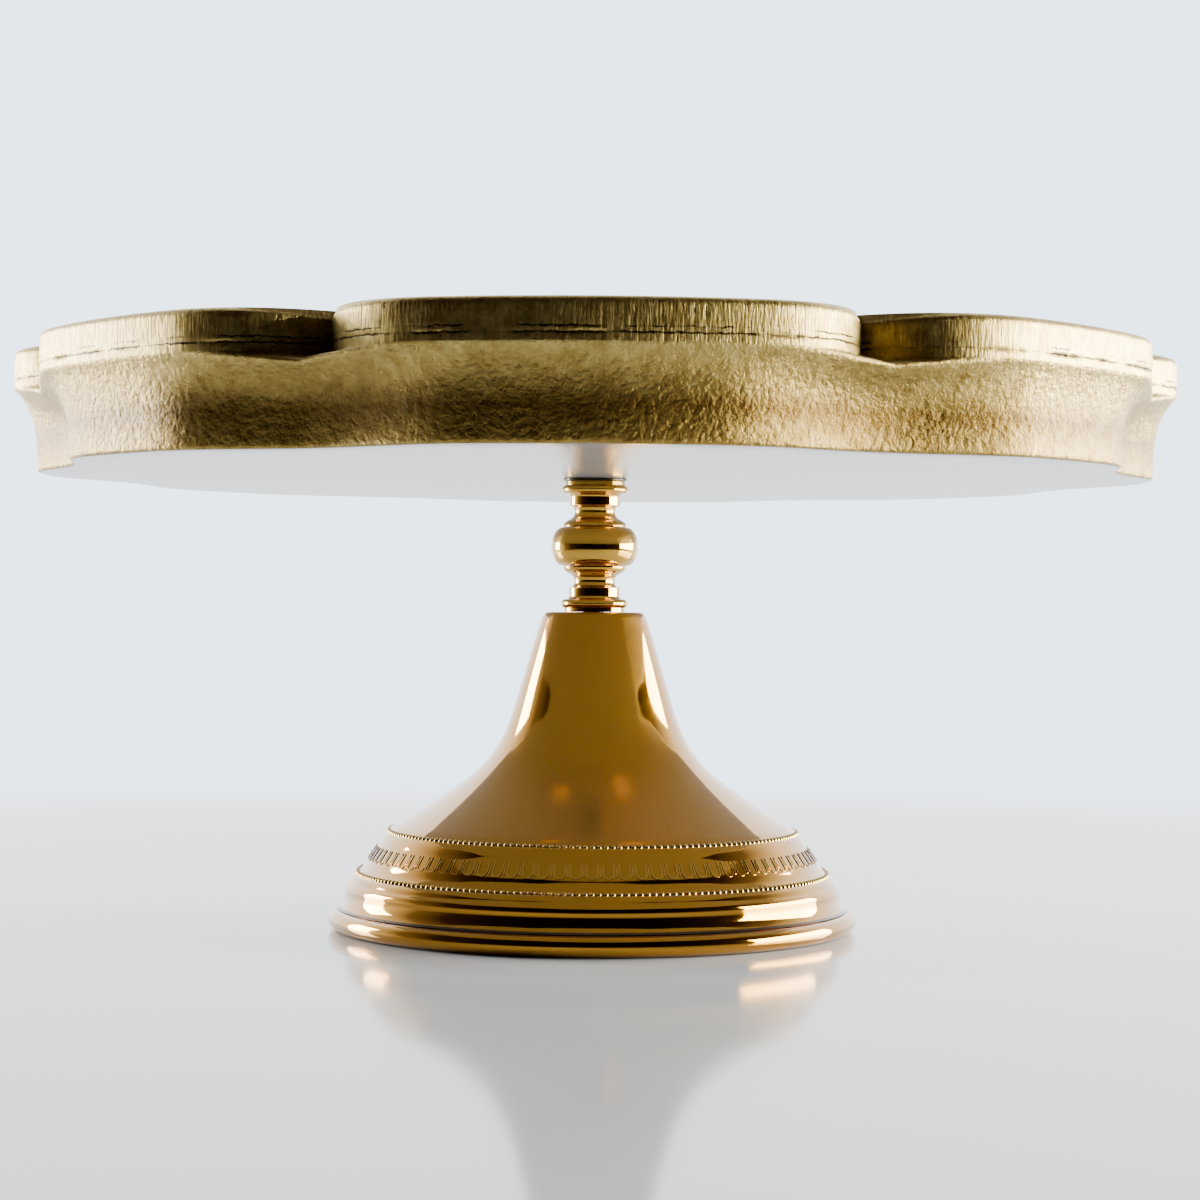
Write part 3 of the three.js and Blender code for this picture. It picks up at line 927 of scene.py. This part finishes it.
foot_section += bell_line[1:] + border_line + curl_outside + curl_inside
foot_section += list(reversed(inner_wall[2:]))
foot_section += [(SHOULDER - SHEET, FOOT_TOP - SHEET), (ROD_BORE, FOOT_TOP - SHEET)]
foot_section += [foot_section[0]]
foot_bell = turned("spun_foot", foot_section, FOOT_STEPS, 28)
foot_bell.data.materials.append(spun_brass)
foot_bell.data.materials.append(groove_shade_brass)
# faces in the grooves take the brass painted as shade
for face in foot_bell.data.polygons:
    outward = math.hypot(face.center.x, face.center.y)
    for groove_radius, groove_height, groove_width in GROOVES:
        away = math.hypot(outward - groove_radius, face.center.z - groove_height)
        if away < groove_width and face.normal.z > -0.5:
            face.material_index = 1
settle(foot_bell, "stem", "foot_brass", "foot_shell")

# %% [markdown]
# ## Bead rings
# Two rings of small beads are rolled into the border with a toothed wheel. One bead is made
# as a low dome and spun round the axis as copies, a few dozen faces each. A particle system
# or an array would do it too, but a spin with copies is one step and needs no empties.

# %% Bead rings
def spin_copies(piece, count):
    """Fill the circle with copies of what is selected, the first one counted."""
    bpy.ops.mesh.select_all(action="SELECT")
    bpy.ops.mesh.spin(
        steps=count - 1,
        dupli=True,
        angle=math.tau * (count - 1) / count,
        center=(0, 0, 0),
        axis=(0, 0, 1),
    )


def bead_ring(name, radius, height, count, size):
    """A ring of beads at a radius and height, each stretched a little up and down."""
    nothing_selected()
    bpy.ops.mesh.primitive_uv_sphere_add(segments=8, ring_count=6, radius=1, location=(0, 0, 0))
    piece = bpy.context.object
    piece.name = name
    bpy.ops.object.mode_set(mode="EDIT")
    bpy.ops.mesh.select_all(action="SELECT")
    bpy.ops.transform.resize(value=(size, size * 0.86, size * 1.1))
    bpy.ops.transform.translate(value=(radius, 0, height))
    spin_copies(piece, count)
    bpy.ops.mesh.normals_make_consistent(inside=False)
    bpy.ops.object.mode_set(mode="OBJECT")
    bpy.ops.object.shade_smooth_by_angle(angle=math.radians(80))
    piece.data.materials.append(stamped_brass)
    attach(piece, "stem")
    return report(piece)


BEAD_SIZE = 1.1 * MM
bead_ring("upper_bead_ring", UPPER_BEADS, 33.6 * MM, 200, BEAD_SIZE)
bead_ring("lower_bead_ring", LOWER_BEADS, 19.2 * MM, 228, BEAD_SIZE)

# %% [markdown]
# ## Stamped tongues
# Between the bead rings runs a band of upright tongues, each a thin raised U with a small
# dart in the gap. They are stamped, so their outlines are low ridges. One U and one dart are
# extruded from a point as a thin path, given width and height, and spun round as copies.

# %% Tongue band
TONGUES = 92
RIDGE = 0.2 * MM
RIDGE_LIFT = 0.05 * MM
TONGUE_WIDTH = 0.33  # half of a tongue's width, as a share of the pitch
TONGUE_TOP = 0.12  # these are shares of the band's length
TONGUE_BEND = 0.72
DART_TOP = 0.3
DART_TIP = 0.86
band_top = Vector((corner[1][0], 0, corner[1][1]))
band_foot = Vector((corner[2][0], 0, corner[2][1]))
band_down = (band_foot - band_top).normalized()
band_out = Vector((-band_down.z, 0, band_down.x))
if band_out.x < 0:
    band_out = -band_out
band_length = (band_foot - band_top).length
tongue_pitch = math.tau * (band_top.x + band_foot.x) / 2 / TONGUES


def ridge_path(name, path):
    """A low ridge along a path of (sideways, down) places on the band."""
    places = [
        band_top + band_down * down + Vector((0, 1, 0)) * side + band_out * RIDGE_LIFT
        for side, down in path
    ]
    piece = start_at(name, places[0])
    for before, after in zip(places, places[1:]):
        bpy.ops.mesh.extrude_region_move(TRANSFORM_OT_translate={"value": after - before})
    bpy.ops.object.mode_set(mode="OBJECT")
    bpy.ops.object.modifier_add(type="SKIN")
    for point in piece.data.skin_vertices[0].data:
        point.radius = (RIDGE, RIDGE)
    bpy.ops.object.modifier_apply(modifier=piece.modifiers[0].name)
    return piece


half = tongue_pitch * TONGUE_WIDTH
top_end = TONGUE_TOP * band_length
bend = TONGUE_BEND * band_length
tongue_outline = [(-half, top_end), (-half, bend)]
for i in range(1, 5):
    angle = math.pi * i / 5
    tongue_outline.append((-half * math.cos(angle), bend + half * math.sin(angle)))
tongue_outline += [(half, bend), (half, top_end)]
tongue = ridge_path("stamped_tongue_band", tongue_outline)
dart = ridge_path(
    "stamped_dart",
    [(tongue_pitch / 2, DART_TOP * band_length), (tongue_pitch / 2, DART_TIP * band_length)],
)
nothing_selected()
dart.select_set(True)
tongue.select_set(True)
bpy.context.view_layer.objects.active = tongue
bpy.ops.object.join()
bpy.ops.object.mode_set(mode="EDIT")
bpy.ops.mesh.select_all(action="SELECT")
spin_copies(tongue, TONGUES)
bpy.ops.mesh.normals_make_consistent(inside=False)
bpy.ops.object.mode_set(mode="OBJECT")
bpy.ops.object.shade_smooth_by_angle(angle=math.radians(70))
tongue.data.materials.append(stamped_brass)
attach(tongue, "stem")
report(tongue)

# %% [markdown]
# ## Rod and fasteners
# Under the foot one sees how the stand is held: a stiffening washer inside the thin bell, a
# split lock washer, a hexagon nut, and the end of the threaded rod. They are zinc-plated
# steel, a cool grey metal with a faint mottle from the plating bath.

# %% Zinc-plated steel
def zinc_plate():
    """Bright zinc plating: grey metal with a cloudy mottle."""
    material, tree, shader, place = new_material("zinc_plated_steel", {"Metallic": 1.0})
    mottle = add(
        tree, "TexNoise", {"Scale": per_metre(2.5 * MM), "Detail": 4.0}, {"Vector": place}
    ).outputs["Fac"]
    tone = add(
        tree, "ValToRGB", {"ramp": [(0.3, "#8E8F8E"), (0.7, "#C9CAC6")]}, {"Fac": mottle}
    ).outputs["Color"]
    tree.links.new(tone, shader.inputs["Base Color"])
    gloss = add(
        tree, "MapRange", {"To Min": 0.22, "To Max": 0.42}, {"Value": mottle}
    ).outputs["Result"]
    tree.links.new(gloss, shader.inputs["Roughness"])
    bump(tree, shader, mottle, 0.01 * MM, 0.3)
    return material


zinc = zinc_plate()
print("fasteners:", zinc.name)

# %% Stiffener and lock washer
stiffener = flat_ring("foot_stiffening_washer", "foot_stiffener", ROD_BORE, 0.25 * MM, STEM_STEPS)
stiffener.data.materials.append(zinc)
settle(stiffener, "stem", "zinc_steel", "foot_stiffener")

LOCK_GAP = math.radians(7)
lock_low, lock_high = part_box("lock_washer")
lock_washer = start_at("split_lock_washer", (ROD_BORE, 0, lock_low.z))
lock_width = lock_high.x - ROD_BORE
lock_height = lock_high.z - lock_low.z
bpy.ops.mesh.extrude_region_move(TRANSFORM_OT_translate={"value": (lock_width, 0, 0)})
bpy.ops.mesh.select_all(action="SELECT")
bpy.ops.mesh.extrude_region_move(TRANSFORM_OT_translate={"value": (0, 0, lock_height)})
bpy.ops.mesh.select_all(action="SELECT")
bpy.ops.mesh.spin(steps=72, angle=math.tau - LOCK_GAP, center=(0, 0, 0), axis=(0, 0, 1))
bpy.ops.mesh.select_all(action="SELECT")
bpy.ops.mesh.remove_doubles(threshold=MERGE_DISTANCE)
bpy.ops.mesh.normals_make_consistent(inside=False)
bpy.ops.object.mode_set(mode="OBJECT")
bpy.ops.object.shade_smooth_by_angle(angle=math.radians(30))
lock_washer.data.materials.append(zinc)
settle(lock_washer, "stem", "zinc_steel", "lock_washer")

# %% Foot nut
nut_low, nut_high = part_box("foot_nut")
nut_middle = (nut_low.z + nut_high.z) / 2
nut_height = nut_high.z - nut_low.z
nut_corner = nut_high.x
NUT_CHAMFER = 0.75 * MM
nothing_selected()
bpy.ops.mesh.primitive_cylinder_add(
    vertices=6, radius=nut_corner, depth=nut_height, location=(0, 0, 0), rotation=(0, 0, 0)
)
foot_nut = bpy.context.object
foot_nut.name = "hexagon_foot_nut"
bpy.ops.object.mode_set(mode="EDIT")
bpy.ops.mesh.select_all(action="SELECT")
bpy.ops.transform.rotate(value=math.radians(30), orient_axis="Z", center_override=(0, 0, 0))
bpy.ops.transform.translate(value=(0, 0, nut_middle))
bpy.ops.object.mode_set(mode="OBJECT")
bore = turned(
    "nut_bore",
    [
        (0, nut_low.z - MM),
        (ROD_BORE, nut_low.z - MM),
        (ROD_BORE, nut_high.z + MM),
        (0, nut_high.z + MM),
    ],
    48,
)
cone = turned(
    "nut_cone",
    [
        (0, nut_low.z - 0.01 * MM),
        (nut_corner - NUT_CHAMFER, nut_low.z - 0.01 * MM),
        (nut_corner + 0.2 * MM, nut_low.z + NUT_CHAMFER * 0.6),
        (nut_corner + 0.2 * MM, nut_high.z - NUT_CHAMFER * 0.6),
        (nut_corner - NUT_CHAMFER, nut_high.z + 0.01 * MM),
        (0, nut_high.z + 0.01 * MM),
    ],
    48,
)
for cutter, action in ((cone, "INTERSECT"), (bore, "DIFFERENCE")):
    nothing_selected()
    foot_nut.select_set(True)
    bpy.context.view_layer.objects.active = foot_nut
    bpy.ops.object.modifier_add(type="BOOLEAN")
    cut = foot_nut.modifiers[0]
    cut.operation = action
    cut.object = cutter
    bpy.ops.object.modifier_apply(modifier=cut.name)
    bpy.data.objects.remove(cutter)
bpy.ops.object.shade_smooth_by_angle(angle=math.radians(20))
foot_nut.data.materials.append(zinc)
settle(foot_nut, "stem", "zinc_steel", "foot_nut")

# %% Threaded rod
rod_low, rod_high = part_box("tie_rod")
ROD_RADIUS = rod_high.x
THREAD_PITCH = 1.25 * MM
THREAD_ROOT = ROD_RADIUS - 0.66 * MM
ROD_CHAMFER = 0.8 * MM
PLAIN_ENDS = 2.4 * MM
TOOTH_DEPTH = 0.76 * MM
TOOTH_FLANK = 0.5 * MM
TOOTH_CREST = 0.16 * MM
turns = int((rod_high.z - rod_low.z - PLAIN_ENDS) / THREAD_PITCH)
rod_core = turned(
    "threaded_tie_rod",
    [
        (0, rod_low.z),
        (ROD_RADIUS - ROD_CHAMFER - 0.3 * MM, rod_low.z),
        (THREAD_ROOT, rod_low.z + 0.3 * MM),
        (THREAD_ROOT, rod_high.z - 0.3 * MM),
        (ROD_RADIUS - ROD_CHAMFER - 0.3 * MM, rod_high.z),
        (0, rod_high.z),
    ],
    32,
)
tooth_low = rod_low.z + 1.0 * MM
tooth = start_at("thread", (THREAD_ROOT - 0.1 * MM, 0, tooth_low))
for move in (
    (TOOTH_DEPTH, 0, TOOTH_FLANK),
    (0, 0, TOOTH_CREST),
    (-TOOTH_DEPTH, 0, TOOTH_FLANK),
):
    bpy.ops.mesh.extrude_region_move(TRANSFORM_OT_translate={"value": move})
bpy.ops.mesh.select_all(action="SELECT")
bpy.ops.mesh.edge_face_add()
bpy.ops.mesh.delete(type="ONLY_FACE")
bpy.ops.object.mode_set(mode="OBJECT")
bpy.ops.object.modifier_add(type="SCREW")
screw = tooth.modifiers[0]
screw.iterations = turns
screw.screw_offset = THREAD_PITCH
screw.steps = 20
screw.render_steps = 20
bpy.ops.object.modifier_apply(modifier=screw.name)
bpy.ops.object.mode_set(mode="EDIT")
bpy.ops.mesh.select_all(action="DESELECT")
bpy.ops.mesh.select_mode(type="EDGE")
bpy.ops.mesh.select_non_manifold()
bpy.ops.mesh.fill_holes(sides=0)
bpy.ops.mesh.select_all(action="SELECT")
bpy.ops.mesh.normals_make_consistent(inside=False)
bpy.ops.object.mode_set(mode="OBJECT")
nothing_selected()
tooth.select_set(True)
rod_core.select_set(True)
bpy.context.view_layer.objects.active = rod_core
bpy.ops.object.join()
bpy.ops.object.shade_smooth_by_angle(angle=math.radians(30))
rod_core.data.materials.append(zinc)
settle(rod_core, "stem", "zinc_steel", "tie_rod")

# %% Tee nut
TEE_BARREL = 5.2 * MM
TEE_FLANGE_THICKNESS = 1.6 * MM
tee_flange_foot = tee_high.z - TEE_FLANGE_THICKNESS
TEE_ROUND = 0.25 * MM
tee_section = [(ROD_BORE, tee_low.z), (TEE_BARREL - TEE_ROUND, tee_low.z)]
tee_section += [(TEE_BARREL, tee_low.z + TEE_ROUND), (TEE_BARREL, tee_flange_foot)]
tee_section += [(tee_high.x - TEE_ROUND, tee_flange_foot), (tee_high.x, tee_flange_foot + TEE_ROUND)]
tee_section += [(tee_high.x, tee_high.z - TEE_ROUND), (tee_high.x - TEE_ROUND, tee_high.z)]
tee_section += [(ROD_BORE, tee_high.z), (ROD_BORE, tee_low.z)]
tee_nut = turned("trapped_tee_nut", tee_section, 64, 30)
tee_nut.data.materials.append(zinc)
settle(tee_nut, "plate", "zinc_steel", "tee_nut")

# %% [markdown]
# ## Table, light and surroundings
# Polished brass shows whatever is round it, so the surroundings are part of its finish. The
# stand is lit by two large soft boxes, one to each side, in front of a white wall, on a glossy
# white table. The room in front is dim. The sky texture here is a simple ramp from the dim
# front to the white back, a little dimmer overhead, and what the camera sees directly is a
# plain pale grey-blue. The table fades out all round, and soonest in front.

# %% Table
TABLE_RADIUS = 2.6
TABLE_FADE_START = 0.5
TABLE_FADE_END = 0.85
TABLE_EDGE = -0.46  # the table's front edge, just outside the picture
TABLE_FRONT_FADE = 0.3
TABLE_GAP = 0.2 * MM  # the rim stands just clear of the table
nothing_selected()
bpy.ops.mesh.primitive_circle_add(
    vertices=96, radius=TABLE_RADIUS, fill_type="NGON", location=(0, 0, 0)
)
table = bpy.context.object
table.name = "white_table"
bpy.ops.object.mode_set(mode="EDIT")
bpy.ops.mesh.select_all(action="SELECT")
bpy.ops.transform.translate(value=(0, 0, -TABLE_GAP))
bpy.ops.object.mode_set(mode="OBJECT")
gloss_white, tree, shader, place = new_material(
    "glossy_white_laminate",
    {"Base Color": linear("#CCD1D7"), "Roughness": 0.09, "Specular IOR Level": 0.36},
)
distance = add(tree, "VectorMath", {"operation": "LENGTH"}, {0: place}).outputs["Value"]
fade = add(
    tree,
    "MapRange",
    {
        "interpolation_type": "SMOOTHSTEP",
        "From Min": TABLE_FADE_START,
        "From Max": TABLE_FADE_END,
        "To Min": 1.0,
        "To Max": 0.0,
    },
    {"Value": distance},
).outputs["Result"]
front = add(tree, "SeparateXYZ", {}, {"Vector": place}).outputs["Y"]
edge = add(
    tree,
    "MapRange",
    {"interpolation_type": "SMOOTHSTEP", "From Min": TABLE_EDGE - TABLE_FRONT_FADE, "From Max": TABLE_EDGE},
    {"Value": front},
).outputs["Result"]
shown = add(tree, "Math", {"operation": "MULTIPLY"}, {0: fade, 1: edge}).outputs["Value"]
tree.links.new(shown, shader.inputs["Alpha"])
table.data.materials.append(gloss_white)
print("table:", TABLE_RADIUS, "m, fading out")

# %% Surroundings
PALE = "#D8E7F9"
PALE_GAIN = 1.3
OVERHEAD_DIMMING = 0.5
world = bpy.data.worlds.new("studio")
world.use_nodes = True
bpy.context.scene.world = world
tree = world.node_tree
background = tree.nodes["Background"]
direction = add(tree, "TexCoord").outputs["Generated"]
axes = add(tree, "SeparateXYZ", {}, {"Vector": direction}).outputs
overhead = add(tree, "Math", {"operation": "MAXIMUM", 1: 0.0}, {0: axes["Z"]}).outputs["Value"]
dimmed = add(
    tree, "Math", {"operation": "MULTIPLY_ADD", 1: -OVERHEAD_DIMMING}, {0: overhead, 2: axes["Y"]}
).outputs["Value"]
front_to_back = add(
    tree, "MapRange", {"From Min": -1.0, "From Max": 1.0}, {"Value": dimmed}
).outputs["Result"]
room = add(
    tree,
    "ValToRGB",
    {
        "ramp": [
            (0.0, "#070402"),
            (1.0, "#F4F7FA"),
            (0.12, "#100A05"),
            (0.28, "#241B12"),
            (0.45, "#5E5A54"),
            (0.7, "#F0F3F6"),
        ]
    },
    {"Fac": front_to_back},
).outputs["Color"]
seen = add(tree, "LightPath").outputs["Is Camera Ray"]
PALE_STRENGTH = 3.4
pale = add(tree, "RGB").outputs["Color"]
pale.default_value = (*(part * PALE_GAIN for part in linear(PALE)[:3]), 1.0)
chosen = add(tree, "Mix", {"data_type": "RGBA"}, {0: seen, 6: room, 7: pale}).outputs[2]
tree.links.new(chosen, background.inputs["Color"])
background.inputs["Strength"].default_value = PALE_STRENGTH
print("surroundings:", world.name)

# %% Soft boxes
AIM_HEIGHT = 0.12


def soft_box(name, around, height, distance, width, tall, watts, colour):
    """A large soft box that faces the stand. around is degrees from the front to the right."""
    light = bpy.data.lights.new(name, "AREA")
    light.shape = "RECTANGLE"
    light.size = width
    light.size_y = tall
    light.energy = watts
    light.color = linear(colour)[:3]
    lamp = bpy.data.objects.new(name, light)
    turn = math.radians(around)
    lamp.location = (distance * math.sin(turn), -distance * math.cos(turn), height)
    lamp.rotation_euler = (Vector((0, 0, AIM_HEIGHT)) - lamp.location).to_track_quat("-Z", "Y").to_euler()
    lamp.visible_camera = False
    bpy.context.scene.collection.objects.link(lamp)
    print(name, "at", around, "degrees,", watts, "W")


soft_box("soft_box_right", 96, 0.27, 1.25, 1.2, 0.52, 95, "#FFFCF4")
soft_box("soft_box_left", -116, 0.27, 1.25, 0.4, 0.52, 34, "#FFFCF4")
